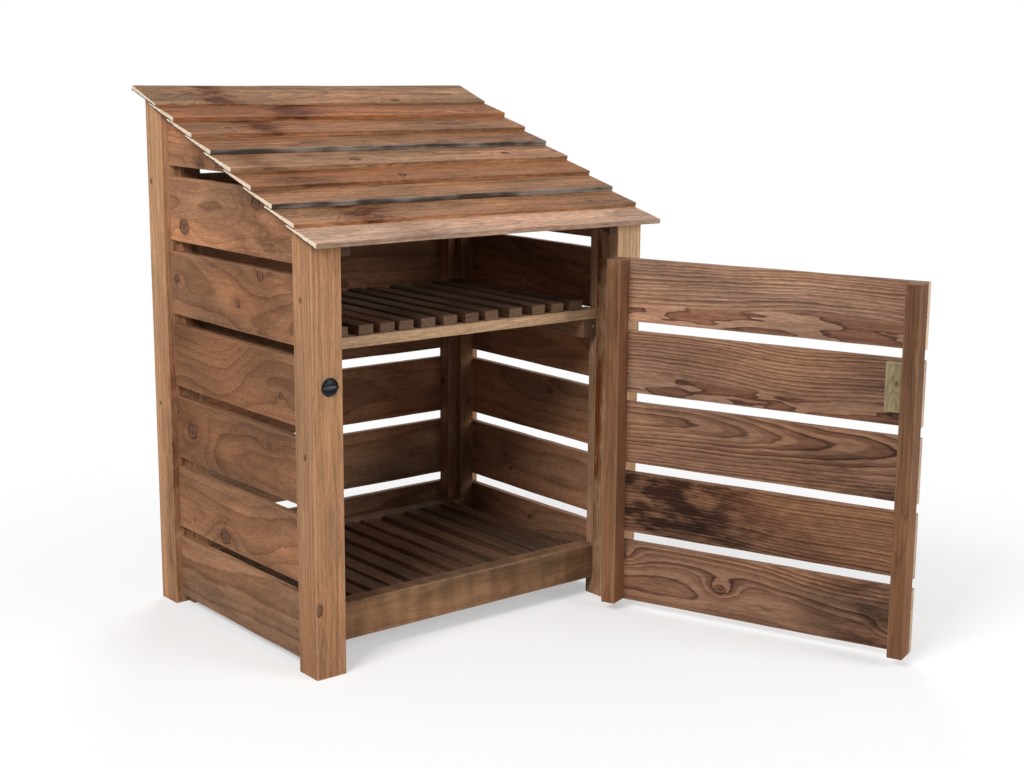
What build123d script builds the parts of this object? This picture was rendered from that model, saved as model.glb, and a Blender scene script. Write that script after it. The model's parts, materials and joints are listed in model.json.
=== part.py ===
import os
from math import asin, cos, degrees, radians, sin, tan

from build123d import *

# Footprint over the four posts, in millimetres
frame_w = 935.0
frame_d = 732.0
post_size = 75.0
post_ease = 2.0

# Wall boards, set in from the post faces and nailed to upright battens
board_t = 17.5
board_h = 151.0
board_inset = 17.5
wall_foot = 20.0
wall_pitch = 176.7
least_board = 40.0
batten_t = 25.0

# Lapped feather-edge roof boards on two rafters fixed inside the posts
roof_pitch = 21.0
roof_rows = 9
roof_lap = 27.5
roof_board_t = 11.5
roof_feather_t = 5.5
roof_side_over = 17.0
eave_out = 47.4
eave_z = 950.8
ridge_out = 30.2
rafter_h = 34.0
rafter_set_back = 4.0

# Base rails, ledgers and the slats of the floor
rail_t = 40.0
rail_h = 87.0
rail_foot = 45.0
rail_ease = 5.0
slat_w = 39.0
slat_h = 23.0
slat_margin = 32.0
slat_drift_shares = (-0.1, -0.03, -0.11, -0.29, -0.32, -0.32, -0.32, -0.39, -0.23, -0.1, -0.15, -0.18)

# Kindling shelf
shelf_z = 711.0
shelf_back_gap = 119.0
shelf_set_back = 3.0
bearer_h = 45.0

# Door, hung on the right front post and shown swung open
door_w = 768.0
door_foot = 22.0
door_rows = 5
door_gap = 24.0
door_hinge_gap = 5.0
door_open = 110.0
stile_w = 36.0
stile_d = 50.0
pad_w = 45.0
pad_h = 112.0
pad_t = 20.0
pad_z = 580.0

# Tee hinges
leaf_t = 3.0
leaf_w = 42.0
leaf_h = 104.0
knuckle_r = 5.0
knuckle_gap = 0.6
pin_r = 2.6
pin_play = 0.06
strap_l = 240.0
strap_root = 38.0
strap_tip = 22.0
screw_r = 2.6
plate_hole_shares = (0.12, 0.5, 0.88)
strap_hole_shares = (0.2, 0.5, 0.8)

# Turn latch on the left front post
rose_r = 20.5
rose_t = 4.0
rose_rim = 1.8
rose_dome_r = 38.0
boss_r = 9.5
latch_x = 42.0
latch_z = 649.0
spindle_r = 4.0
spindle_play = 0.08
spindle_seat = 0.5
turn_play = 0.6
turn_l = 39.0
turn_w = 7.5
turn_h = 5.0
turn_end_h = 1.8
turn_ease = 2.4

# Sizes that follow from the ones above
half = 0.5
batten_w = post_size - board_inset - board_t
board_back = board_inset + board_t
bay_x0 = post_size
bay_x1 = frame_w - post_size
bay_w = bay_x1 - bay_x0
rear_post_y = frame_d - post_size
side_len = rear_post_y - post_size
roof_run = (frame_d + eave_out + ridge_out) / cos(radians(roof_pitch))
roof_course = (roof_run - roof_lap) / roof_rows
roof_board_l = roof_course + roof_lap
course_y = roof_course * cos(radians(roof_pitch))
course_z = roof_course * sin(radians(roof_pitch))
roof_tilt = roof_pitch - degrees(asin(roof_board_t / roof_course))
roof_along = (cos(radians(roof_tilt)), sin(radians(roof_tilt)))
roof_taper = roof_board_t - roof_feather_t
roof_rest = (
    roof_along[0] * roof_board_l - roof_along[1] * roof_taper,
    roof_along[1] * roof_board_l + roof_along[0] * roof_taper,
)
rest_y = roof_rest[0] - eave_out
rest_z = roof_rest[1] + eave_z
rafter_drop = rafter_h / cos(radians(roof_pitch))
rail_top = rail_foot + rail_h
slat_count = len(slat_drift_shares)
slat_x0 = bay_x0 + slat_margin
slat_pitch = (bay_w - slat_margin - slat_margin - slat_w) / (slat_count - 1)
floor_y0 = post_size + rail_t
floor_y1 = rear_post_y - rail_t
ledger_top = rail_top - slat_h
shelf_y0 = post_size + shelf_set_back
shelf_y1 = frame_d - board_back - shelf_back_gap
slat_z = shelf_z + batten_t
door_pitch = board_h + door_gap
door_h = door_pitch * (door_rows - 1) + board_h
door_x1 = bay_x1 - door_hinge_gap
door_x0 = door_x1 - door_w
hinge_x = bay_x1
hinge_y = -knuckle_r
hinge_rows = (0, door_rows - 1)

nodes = {}


def block(x, y, z, dx, dy, dz):
    corner = (Align.MIN, Align.MIN, Align.MIN)
    return Pos(x, y, z) * Box(dx, dy, dz, align=corner)


def side_prism(profile, x, dx):
    # a profile drawn in the plane of a side wall, given width along the front
    face = make_face(Polyline(*profile, close=True))
    return Pos(x, 0, 0) * extrude(Plane.YZ * face, amount=dx)


def other_hand(shape):
    return mirror(shape, Plane.YZ.offset(frame_w * half))


def rake_z(y):
    # underside line of the roof, where the top edges of its boards rest
    return rest_z + (y - rest_y) * tan(radians(roof_pitch))


def rake_y(z):
    return rest_y + (z - rest_z) / tan(radians(roof_pitch))


def eave_line(y):
    # underside of the lowest roof board
    return eave_z + (y + eave_out) * roof_rest[1] / roof_rest[0]


def swing(shape):
    return shape.rotate(Axis((hinge_x, hinge_y, 0), (0, 0, 1)), door_open)


# Posts: the front pair is cut to the lowest roof board, the rear pair to the rake
front_profile = [(0, 0), (post_size, 0), (post_size, eave_line(post_size)), (0, eave_line(0))]
rear_profile = [
    (rear_post_y, 0),
    (frame_d, 0),
    (frame_d, rake_z(frame_d)),
    (rear_post_y, rake_z(rear_post_y)),
]
front_post = side_prism(front_profile, 0, post_size)
front_post = chamfer(front_post.edges().filter_by(Axis.Z), post_ease)
rear_post = side_prism(rear_profile, 0, post_size)
rear_post = chamfer(rear_post.edges().filter_by(Axis.Z), post_ease)
nodes["front_left_post"] = front_post
nodes["front_right_post"] = other_hand(front_post)
nodes["rear_left_post"] = rear_post
nodes["rear_right_post"] = other_hand(rear_post)


# Upright battens against the posts, behind the side boards and up to the roof
def upright(y0):
    y1 = y0 + batten_t
    profile = [(y0, 0), (y1, 0), (y1, rake_z(y1)), (y0, rake_z(y0))]
    return side_prism(profile, board_back, batten_w)


front_batten = upright(post_size)
rear_batten = upright(rear_post_y - batten_t)
nodes["front_left_batten"] = front_batten
nodes["front_right_batten"] = other_hand(front_batten)
nodes["rear_left_batten"] = rear_batten
nodes["rear_right_batten"] = other_hand(rear_batten)

back_y0 = rear_post_y
back_y1 = frame_d - board_back
wall_rows = 1 + int((rake_z(back_y1) - wall_foot - least_board) // wall_pitch)
back_profile = [
    (back_y0, 0),
    (back_y1, 0),
    (back_y1, rake_z(back_y1) - rafter_drop),
    (back_y0, rake_z(back_y0) - rafter_drop),
]
back_batten = side_prism(back_profile, bay_x0, batten_t)
nodes["back_left_batten"] = back_batten
nodes["back_right_batten"] = other_hand(back_batten)

# Rafters on the inner faces of the posts, over the back battens
rafter_profile = [
    (rafter_set_back, rake_z(rafter_set_back) - rafter_drop),
    (back_y1, rake_z(back_y1) - rafter_drop),
    (back_y1, rake_z(back_y1)),
    (rafter_set_back, rake_z(rafter_set_back)),
]
rafter = side_prism(rafter_profile, bay_x0, batten_t)
nodes["left_rafter"] = rafter
nodes["right_rafter"] = other_hand(rafter)


# Side boards: the two upper ones are cut to the rake
def side_board(row):
    low = wall_foot + wall_pitch * row
    high = low + board_h
    y0 = post_size
    y1 = rear_post_y
    if rake_z(y0) >= high:
        profile = [(y0, low), (y1, low), (y1, high), (y0, high)]
    elif rake_z(y0) > low:
        profile = [(y0, low), (y1, low), (y1, high), (rake_y(high), high), (y0, rake_z(y0))]
    else:
        profile = [(rake_y(low), low), (y1, low), (y1, rake_z(y1))]
    return side_prism(profile, board_inset, board_t)


side_boards = Compound([side_board(row) for row in range(wall_rows)])
nodes["left_side_boards"] = side_boards
nodes["right_side_boards"] = other_hand(side_boards)


# Back boards between the rear posts
def back_board(row):
    low = wall_foot + wall_pitch * row
    y0 = back_y1
    y1 = back_y1 + board_t
    top0 = min(low + board_h, rake_z(y0))
    top1 = min(low + board_h, rake_z(y1))
    profile = [(y0, low), (y1, low), (y1, top1), (y0, top0)]
    return side_prism(profile, bay_x0, bay_w)


nodes["back_boards"] = Compound([back_board(row) for row in range(wall_rows)])

# Base rails, the ledgers on their inner faces and the floor slats between them
front_rail = block(bay_x0, post_size, rail_foot, bay_w, rail_t, rail_h)
front_edge = front_rail.edges().filter_by(Axis.X).group_by(Axis.Z)[-1].sort_by(Axis.Y)[0]
nodes["front_rail"] = fillet(front_edge, rail_ease)
nodes["rear_rail"] = block(bay_x0, floor_y1, rail_foot, bay_w, rail_t, rail_h)
ledger_z = ledger_top - batten_w
nodes["front_ledger"] = block(bay_x0, floor_y0, ledger_z, bay_w, batten_t, batten_w)
nodes["rear_ledger"] = block(bay_x0, floor_y1 - batten_t, ledger_z, bay_w, batten_t, batten_w)
floor_l = floor_y1 - floor_y0
slat_xs = [slat_x0 + slat_pitch * (i + share) for i, share in enumerate(slat_drift_shares)]
floor_slats = [block(x, floor_y0, ledger_top, slat_w, floor_l, slat_h) for x in slat_xs]
nodes["floor_slats"] = Compound(floor_slats)

# Kindling shelf: side bearers, front and rear rails, slats from front to back
bearer = block(bay_x0, post_size, shelf_z - bearer_h, batten_w, side_len, bearer_h)
nodes["left_shelf_bearer"] = bearer
nodes["right_shelf_bearer"] = other_hand(bearer)
nodes["shelf_front_rail"] = block(bay_x0, post_size, shelf_z, bay_w, batten_w, batten_t)
nodes["shelf_rear_rail"] = block(bay_x0, shelf_y1 - batten_w, shelf_z, bay_w, batten_w, batten_t)
shelf_l = shelf_y1 - shelf_y0
shelf_slats = [block(x, shelf_y0, slat_z, slat_w, shelf_l, slat_h) for x in slat_xs]
nodes["shelf_slats"] = Compound(shelf_slats)


# Roof boards, numbered from the eave up, each with its thick edge lapped on the one below
def roof_lift(point, thickness):
    return (point[0] - roof_along[1] * thickness, point[1] + roof_along[0] * thickness)


def roof_board(row):
    tip = (course_y * row - eave_out, eave_z + course_z * row)
    head = (tip[0] + roof_rest[0], tip[1] + roof_rest[1])
    tip_t = roof_board_t
    head_t = roof_feather_t
    if row == roof_rows - 1:
        # the top board is laid the other way, thick edge to the back
        tip_t = roof_feather_t
        head_t = roof_board_t
    profile = [tip, head, roof_lift(head, head_t), roof_lift(tip, tip_t)]
    return side_prism(profile, -roof_side_over, frame_w + roof_side_over + roof_side_over)


for row in range(roof_rows):
    nodes[f"roof_board_{row + 1}"] = roof_board(row)

# Door in its closed place: boards outside, stiles inside, then swung on its hinge
door_boards = []
for row in range(door_rows):
    door_boards.append(block(door_x0, 0, door_foot + door_pitch * row, door_w, board_t, board_h))
nodes["door_boards"] = swing(Compound(door_boards))
nodes["door_latch_stile"] = swing(block(door_x0, board_t, door_foot, stile_w, stile_d, door_h))
nodes["door_hinge_stile"] = swing(block(door_x1 - stile_w, board_t, door_foot, stile_w, stile_d, door_h))
nodes["door_latch_pad"] = swing(block(door_x0 + stile_w, board_t, pad_z, pad_w, pad_t, pad_h))


# Tee hinges: a plate with two knuckles and the pin on the post, a strap on the door
def hinge_plate(z):
    x = hinge_x + knuckle_r + knuckle_gap
    low = z - leaf_h * half
    plate = block(x, -leaf_t, low, leaf_w, leaf_t, leaf_h)
    side = (leaf_h - strap_root) * half - knuckle_gap
    for foot in (low, z + strap_root * half + knuckle_gap):
        barrel = Pos(hinge_x, hinge_y, foot + side * half) * Cylinder(knuckle_r, side)
        plate += barrel
        plate += block(hinge_x, -leaf_t, foot, knuckle_r + knuckle_gap, leaf_t, side)
    plate += Pos(hinge_x, hinge_y, z) * Cylinder(pin_r, leaf_h)
    for share in plate_hole_shares:
        hole = Pos(x + leaf_w * half, 0, low + leaf_h * share) * Rot(90, 0, 0)
        plate -= hole * Cylinder(screw_r, leaf_t + leaf_t)
    return plate


def hinge_strap(z):
    x0 = hinge_x - strap_l
    root = strap_root * half
    tip = strap_tip * half
    outline = [(x0, z - tip), (hinge_x, z - root), (hinge_x, z + root), (x0, z + tip)]
    face = make_face(Polyline(*outline, close=True))
    strap = extrude(Plane.XZ * face, amount=leaf_t)
    strap += Pos(x0, 0, z) * Rot(90, 0, 0) * extrude(Circle(tip), amount=leaf_t)
    for share in strap_hole_shares:
        hole = Pos(hinge_x - strap_l * share, 0, z) * Rot(90, 0, 0)
        strap -= hole * Cylinder(screw_r, leaf_t + leaf_t)
    strap += Pos(hinge_x, hinge_y, z) * Cylinder(knuckle_r, strap_root)
    strap -= Pos(hinge_x, hinge_y, z) * Cylinder(pin_r + pin_play, leaf_h)
    return strap


for name, row in zip(("lower", "upper"), hinge_rows):
    middle = door_foot + door_pitch * row + board_h * half
    nodes[f"{name}_hinge_plate"] = hinge_plate(middle)
    nodes[f"{name}_hinge_strap"] = swing(hinge_strap(middle))

# Turn latch: a domed round rose on the post and an arched turn bar in its bore
seat = Pos(latch_x, 0, latch_z) * Rot(90, 0, 0)
bore_r = spindle_r + spindle_play
rose_line = Polyline((rose_r, rose_rim), (rose_r, 0), (bore_r, 0), (bore_r, rose_t), (boss_r, rose_t))
rose_line += RadiusArc((boss_r, rose_t), (rose_r, rose_rim), rose_dome_r)
nodes["latch_rose"] = seat * revolve(Plane.XZ * make_face(rose_line), Axis.Z)
turn_z = rose_t + turn_play
end = turn_l * half
bar_line = Polyline((end, turn_end_h), (end, 0), (-end, 0), (-end, turn_end_h))
bar_line += ThreePointArc((-end, turn_end_h), (0, turn_h), (end, turn_end_h))
bar = extrude(Plane.XZ * make_face(bar_line), amount=turn_w * half, both=True)
bar = fillet(bar.edges().filter_by(Axis.Z), turn_ease)
spindle = Pos(0, 0, spindle_seat) * extrude(Circle(spindle_r), amount=turn_z - spindle_seat)
nodes["latch_turn"] = seat * (Pos(0, 0, turn_z) * bar + spindle)

# Bring the origin to the bottom centre of the whole
whole = Compound([shape for shape in nodes.values()]).bounding_box()
shift_x = -(whole.min.X + whole.max.X) * half
shift_y = -(whole.min.Y + whole.max.Y) * half
place = Pos(shift_x, shift_y, 0)

os.makedirs("parts", exist_ok=True)
for name, shape in nodes.items():
    export_step(place * shape, f"parts/{name}.step")

print("origin shift", round(shift_x, 3), round(shift_y, 3))
print("size", round(whole.size.X, 2), round(whole.size.Y, 2), round(whole.size.Z, 2))
print("hinge axis", round(hinge_x + shift_x, 3), round(hinge_y + shift_y, 3))
print("latch axis", round(latch_x + shift_x, 3), round(shift_y, 3), latch_z)
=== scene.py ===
import json
import math
import random

import bmesh
import bpy
from mathutils import Matrix, Vector, noise
from mathutils.bvhtree import BVHTree


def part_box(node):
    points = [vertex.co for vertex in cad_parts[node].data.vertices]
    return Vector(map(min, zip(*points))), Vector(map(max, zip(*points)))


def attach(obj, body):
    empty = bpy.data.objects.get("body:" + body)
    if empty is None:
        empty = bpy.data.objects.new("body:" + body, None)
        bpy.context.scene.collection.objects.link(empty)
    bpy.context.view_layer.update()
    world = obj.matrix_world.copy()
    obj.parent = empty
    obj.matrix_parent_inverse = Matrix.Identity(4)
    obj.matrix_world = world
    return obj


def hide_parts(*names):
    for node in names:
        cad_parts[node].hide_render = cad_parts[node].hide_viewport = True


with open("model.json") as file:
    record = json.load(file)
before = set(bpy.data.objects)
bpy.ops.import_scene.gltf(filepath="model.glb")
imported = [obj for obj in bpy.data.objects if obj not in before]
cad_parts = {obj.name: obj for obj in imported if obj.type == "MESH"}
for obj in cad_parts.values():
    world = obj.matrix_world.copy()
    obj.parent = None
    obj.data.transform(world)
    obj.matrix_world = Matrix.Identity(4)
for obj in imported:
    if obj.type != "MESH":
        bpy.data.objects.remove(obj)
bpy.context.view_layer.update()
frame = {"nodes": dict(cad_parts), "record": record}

nodes = frame["nodes"]
scene = bpy.context.scene
sideways = Vector((1, 0, 0))
backwards = Vector((0, 1, 0))
upright = Vector((0, 0, 1))
print("frame loaded:", len(nodes), "nodes")


# one bench of shader nodes for each material, and one for the world
class NodeBench:
    def __init__(self, owner):
        owner.use_nodes = True
        self.owner = owner
        self.tree = owner.node_tree
        self.tree.nodes.clear()

    def node(self, kind, **settings):
        made = self.tree.nodes.new(kind)
        for key, value in settings.items():
            setattr(made, key, value)
        return made

    def plug(self, socket, value):
        if isinstance(value, bpy.types.NodeSocket):
            self.tree.links.new(value, socket)
        else:
            socket.default_value = value

    def math(self, operation, a, b=0.0, c=0.0, clamp=False):
        made = self.node("ShaderNodeMath", operation=operation, use_clamp=clamp)
        for socket, value in zip(made.inputs, (a, b, c)):
            self.plug(socket, value)
        return made.outputs[0]

    def times(self, a, b):
        return self.math("MULTIPLY", a, b)

    def timesAdd(self, a, b, c):
        return self.math("MULTIPLY_ADD", a, b, c)

    def vector(self, operation, a, b=(0, 0, 0), c=(0, 0, 0)):
        made = self.node("ShaderNodeVectorMath", operation=operation)
        for socket, value in zip(made.inputs, (a, b, c)):
            self.plug(socket, value)
        return made.outputs[0]

    def attribute(self, name):
        return self.node("ShaderNodeAttribute", attribute_name=name).outputs["Vector"]

    def split(self, vector):
        made = self.node("ShaderNodeSeparateXYZ")
        self.plug(made.inputs[0], vector)
        return made.outputs[0], made.outputs[1], made.outputs[2]

    def join(self, x, y, z):
        made = self.node("ShaderNodeCombineXYZ")
        for socket, value in zip(made.inputs, (x, y, z)):
            self.plug(socket, value)
        return made.outputs[0]

    def noise(self, vector, scale=1.0, detail=2.0, rough=0.5):
        made = self.node("ShaderNodeTexNoise")
        self.plug(made.inputs["Vector"], vector)
        made.inputs["Scale"].default_value = scale
        made.inputs["Detail"].default_value = detail
        made.inputs["Roughness"].default_value = rough
        return made.outputs[0]

    def fade(self, value, start, end, low=0.0, high=1.0):
        made = self.node("ShaderNodeMapRange", interpolation_type="SMOOTHSTEP")
        for socket, entry in zip(made.inputs, (value, start, end, low, high)):
            self.plug(socket, entry)
        return made.outputs[0]

    def ramp(self, value, stops):
        made = self.node("ShaderNodeValToRGB")
        points = made.color_ramp.elements
        while len(points) < len(stops):
            points.new(1.0)
        for point, (place, shade) in zip(points, stops):
            point.position = place
            point.color = (shade, shade, shade, 1)
        self.plug(made.inputs[0], value)
        return made.outputs[0]

    # sockets 6 and 7 in and 2 out are the Mix node's colours
    def mix(self, factor, a, b, blend="MIX"):
        made = self.node("ShaderNodeMix", data_type="RGBA", blend_type=blend)
        self.plug(made.inputs[0], factor)
        self.plug(made.inputs[6], a if isinstance(a, bpy.types.NodeSocket) else (*a, 1))
        self.plug(made.inputs[7], b if isinstance(b, bpy.types.NodeSocket) else (*b, 1))
        return made.outputs[2]

    def grey(self, value):
        return self.join(value, value, value)

    def finish(self, colour, rough, height, lift, bump, metal, gloss):
        shader = self.node("ShaderNodeBsdfPrincipled")
        self.plug(shader.inputs["Base Color"], colour)
        self.plug(shader.inputs["Roughness"], rough)
        shader.inputs["Metallic"].default_value = metal
        shader.inputs["Specular IOR Level"].default_value = gloss
        relief = self.node("ShaderNodeBump")
        relief.inputs["Strength"].default_value = bump
        relief.inputs["Distance"].default_value = lift
        self.plug(relief.inputs["Height"], height)
        self.plug(shader.inputs["Normal"], relief.outputs[0])
        out = self.node("ShaderNodeOutputMaterial")
        self.plug(out.inputs["Surface"], shader.outputs[0])
        return self.owner


midSpan = (0.3, 0.7)      # the usual stretch of a noise's values
wideSpan = (0.25, 0.75)
tiny = 0.0001


# sawn softwood: growth rings about a heart line, bent round the knots of each board
def timberMaterial(name, look):
    b = NodeBench(bpy.data.materials.new(name))
    grain = b.attribute("grain")
    u, v, w = b.split(grain)
    halfU, halfV, halfW = b.split(b.attribute("half"))
    seed, tone, warm = b.split(b.attribute("board"))
    heartV, heartW, ringWidth = b.split(b.attribute("heart"))
    lean, bendU, bendV = b.split(b.attribute("figure"))
    stainAndShadeU, stainAndShadeReach, stainAndShadeDepth = b.split(b.attribute("stainAndShade"))
    frontGrey, stainAndShadeSlope, stainAndShadeLift = b.split(b.attribute("weatherAndShade"))
    shift = b.vector("MULTIPLY", b.grey(seed), look["seedShift"])
    endGap = b.math("SUBTRACT", halfU, b.math("ABSOLUTE", u))
    sideGap = b.math("SUBTRACT", halfV, b.math("ABSOLUTE", v))
    faceGap = b.math("SUBTRACT", halfW, b.math("ABSOLUTE", w))

    def drift(scale, detail=0.0, rough=0.5):
        return b.noise(b.vector("MULTIPLY_ADD", grain, scale, shift), detail=detail, rough=rough)

    def centred(value):
        return b.math("SUBTRACT", value, 0.5)

    def spread(value, span, amount):
        return b.fade(value, *span, 1 - amount, 1 + amount)

    # the heart line wanders, leans and takes one slow bend
    bend = b.fade(b.math("SUBTRACT", u, bendU), -look["bendRun"], look["bendRun"])
    ringV = b.timesAdd(bend, bendV, b.math("SUBTRACT", v, heartV))
    ringV = b.timesAdd(centred(drift(look["wanderV"])), look["wander"], ringV)
    ringW = b.timesAdd(lean, u, b.math("SUBTRACT", w, heartW))
    ringW = b.timesAdd(centred(drift(look["wanderW"])), look["wander"], ringW)
    ring = b.math("SQRT", b.timesAdd(ringV, ringV, b.times(ringW, ringW)))

    # knots push the rings aside, and the nearest one gives its own colour below
    lumpy = centred(drift(look["lumpScale"], detail=1))
    near = look["knotFar"]
    for label in ("knotA", "knotB", "knotC"):
        knotU, knotV, knotR = b.split(b.attribute(label))
        crossed = label in look["crossKnots"]
        radius = b.math("MAXIMUM", knotR, tiny)
        du = b.math("DIVIDE", b.math("SUBTRACT", u, knotU), radius)
        dv = b.math("DIVIDE", b.math("SUBTRACT", w if crossed else v, knotV), radius)
        across = b.times(dv, dv)
        reach = b.timesAdd(b.times(du, du), look["knotSwirl"], across)
        swell = b.math("EXPONENT", b.times(reach, -1 / look["knotReach"] ** 2))
        ring = b.timesAdd(b.times(swell, knotR), look["knotPush"], ring)
        far = b.math("SQRT", b.timesAdd(b.times(du, du), look["knotOval"], across))
        if look["knotSkin"]:
            skin = b.fade(sideGap if crossed else faceGap, 0.0, look["knotSkin"], 0.0, look["knotHide"])
            far = b.math("ADD", far, skin)
        near = b.math("MINIMUM", far, near)
    near = b.timesAdd(lumpy, look["knotLumps"], near)

    # dark summer wood and the line that closes each ring
    gritNoise = drift(look["gritScale"], detail=2, rough=0.6)
    jagNoise = drift(look["jagScale"], detail=2, rough=0.55)
    ring = b.timesAdd(centred(jagNoise), look["jag"], ring)
    ring = b.timesAdd(centred(gritNoise), look["fray"], ring)
    turns = b.math("DIVIDE", ring, ringWidth)
    uneven = b.noise(b.join(b.times(turns, look["crowdScale"]), seed, 0.0), detail=0.0)
    turns = b.timesAdd(uneven, look["crowd"], turns)
    each = b.node("ShaderNodeTexWhiteNoise", noise_dimensions="1D")
    b.plug(each.inputs["W"], b.math("ADD", b.math("FLOOR", turns), seed))
    strength = b.timesAdd(each.outputs["Value"], look["ringVary"], 1 - look["ringVary"])
    part = b.math("FRACT", turns)
    late = b.times(b.ramp(part, look["lateStops"]), strength)
    line = b.times(b.ramp(part, look["lineStops"]), strength)
    if look["fineLines"]:
        fine = b.ramp(b.math("FRACT", b.times(turns, look["finePerRing"])), look["lineStops"])
        line = b.timesAdd(fine, look["fineLines"], line)
    if look["island"]:
        calm = b.times(b.fade(b.math("ABSOLUTE", ringV), *look["islandBand"]), frontGrey)
        quiet = b.timesAdd(calm, -look["islandCalm"], 1.0)
        late = b.times(late, quiet)
        line = b.times(line, quiet)
    colour = b.mix(b.times(late, look["lateDepth"]), look["early"], look["late"])
    colour = b.mix(b.times(line, look["lineDepth"]), colour, look["line"])
    if look["island"]:
        outside, rim, inside = look["islandEdge"]
        islandNoise = drift(look["islandScale"], detail=2, rough=0.45)
        patch = b.times(b.fade(islandNoise, outside, rim), calm)
        outline = b.times(patch, b.fade(islandNoise, inside, rim))
        colour = b.mix(b.times(patch, look["islandDepth"]), colour, look["island"])
        colour = b.mix(b.times(outline, look["islandRim"]), colour, look["line"])

    # blotches, streaks, fibres and the saw's marks
    blotchNoise = drift(look["blotchScale"], detail=2, rough=0.65)
    streakNoise = drift(look["streakScale"], detail=3, rough=0.65)
    fibreNoise = drift(look["fibreScale"], detail=1, rough=0.6)
    sawPlace = b.times(u, look["sawLines"])
    saw = b.math("SINE", b.timesAdd(fibreNoise, look["sawWaver"], sawPlace))
    paler = 1 + look["streak"] * look["streakLift"]
    streak = b.fade(streakNoise, *midSpan, 1 - look["streak"], paler)
    shade = b.times(spread(blotchNoise, look["blotchSpan"], look["blotch"]), streak)
    shade = b.times(shade, spread(fibreNoise, wideSpan, look["fibre"]))
    shade = b.times(shade, spread(gritNoise, wideSpan, look["grit"]))
    shade = b.times(shade, b.math("ADD", tone, 1.0))
    if look["scuff"]:
        scuffU, scuffV = look["scuffScale"]
        scuffs = b.noise(b.join(b.times(u, scuffU), b.times(v, scuffV), seed), detail=3.0)
        shade = b.times(shade, spread(scuffs, look["scuffSpan"], look["scuff"]))
    if look["sawTint"]:
        crossSaw = b.math("SINE", b.times(v, look["sawLines"]))
        hatch = b.timesAdd(b.math("ADD", saw, crossSaw), look["sawTint"], 1.0)
        shade = b.times(shade, hatch)
    hue = b.timesAdd(centred(drift(look["hueScale"])), look["hue"], warm)
    tint = b.vector("MULTIPLY_ADD", b.grey(hue), look["warmTint"], (1, 1, 1))
    tint = b.vector("MULTIPLY", tint, b.grey(shade))
    colour = b.mix(1.0, colour, tint, "MULTIPLY")

    # dark stain along a stretch of the board; on the front right post it is painted shade, darker towards
    # the top and the rear of the post
    along = b.timesAdd(v, stainAndShadeSlope, b.math("SUBTRACT", u, stainAndShadeU))
    away = b.math("DIVIDE", along, b.math("MAXIMUM", stainAndShadeReach, tiny))
    depth = b.timesAdd(b.math("DIVIDE", v, halfV), stainAndShadeLift, stainAndShadeDepth)
    stainAndShadeNoise = drift(look["stainAndShadeScale"], detail=3, rough=0.64)
    cloud = b.fade(stainAndShadeNoise, *look["stainAndShadeSpan"], look["stainAndShadeEven"])
    stainAndShadeMask = b.math("EXPONENT", b.times(b.times(away, away), -1.0))
    if look["stainBack"] < 1:
        through = b.fade(b.math("DIVIDE", w, halfW), *look["stainThrough"], look["stainBack"], 1.0)
        depth = b.times(depth, through)
    stainAndShadeMask = b.math("MULTIPLY", b.times(stainAndShadeMask, depth), cloud, clamp=True)
    colour = b.mix(stainAndShadeMask, colour, b.mix(1.0, colour, look["stainAndShade"], "MULTIPLY"))

    # the knots' own colour: a pale halo, a brown heart, a broken dark rim
    halo = b.mix(1.0, colour, look["halo"], "MULTIPLY")
    colour = b.mix(b.fade(near, *look["haloFade"]), colour, halo)
    whorl = spread(b.math("SINE", b.times(near, look["whorls"])), (-1.0, 1.0), look["whorlDepth"])
    heart = b.mix(1.0, look["knot"], b.grey(whorl), "MULTIPLY")
    colour = b.mix(b.fade(near, *look["knotFade"]), colour, heart)
    rim = b.times(b.fade(near, *look["rimOuter"]), b.fade(near, *look["rimInner"]))
    rim = b.times(rim, b.fade(lumpy, *look["rimBreaks"]))
    pith = b.fade(near, *look["pithFade"])
    colour = b.mix(b.math("MAXIMUM", rim, pith), colour, look["knotRim"])

    # worn corners, weathered front edges, and end grain with a painted lap shadow, from a point's distance
    # to the board's sides
    lower = b.math("MINIMUM", endGap, sideGap)
    upper = b.math("MAXIMUM", endGap, sideGap)
    corner = b.math("MAXIMUM", lower, b.math("MINIMUM", upper, faceGap))
    corner = b.timesAdd(lumpy, look["wearWaver"], corner)
    worn = b.fade(corner, *look["wearWidth"], 0.0, look["wear"])
    colour = b.mix(worn, colour, look["wornColour"])
    if look["silver"]:
        front = b.timesAdd(lumpy, look["edgeWaver"], b.math("ADD", v, halfV))
        front = b.fade(front, *look["silverWidth"])
        silverNoise = drift(look["silverScale"], detail=2, rough=0.6)
        streaky, patchy = look["silverMix"]
        patch = b.timesAdd(streakNoise, streaky, b.times(silverNoise, patchy))
        silver = b.mix(b.fade(patch, *look["silverSpan"]), look["greyDark"], look["greyPale"])
        colour = b.mix(b.times(front, frontGrey), colour, silver)
    endShade = b.times(b.timesAdd(late, -look["endRings"], 1.0), b.timesAdd(tone, look["endTone"], 1.0))
    endShade = b.times(endShade, spread(streakNoise, midSpan, look["endStreak"]))
    endColour = b.mix(1.0, look["end"], b.grey(endShade), "MULTIPLY")
    # painted shade: a dark line along the lower edge of the end grain, standing for the shadow where each
    # roof board laps on the board below
    if look["endTaper"]:
        slope = -look["endTaper"] / 2
        rise = b.timesAdd(b.math("DIVIDE", v, halfV), slope, slope)
        under = b.math("ADD", b.math("ADD", w, halfW), rise)
        under = b.timesAdd(lumpy, look["edgeWaver"], under)
        endColour = b.mix(b.fade(under, *look["endLapShadeWidth"]), endColour, look["endLapShade"])
    colour = b.mix(b.fade(endGap, *look["endWidth"]), colour, endColour)

    height = b.timesAdd(saw, look["sawDepth"], fibreNoise)
    rough = b.fade(fibreNoise, *midSpan, *look["rough"])
    return b.finish(colour, rough, height, look["lift"], look["bump"], 0.0, look["gloss"])


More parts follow.
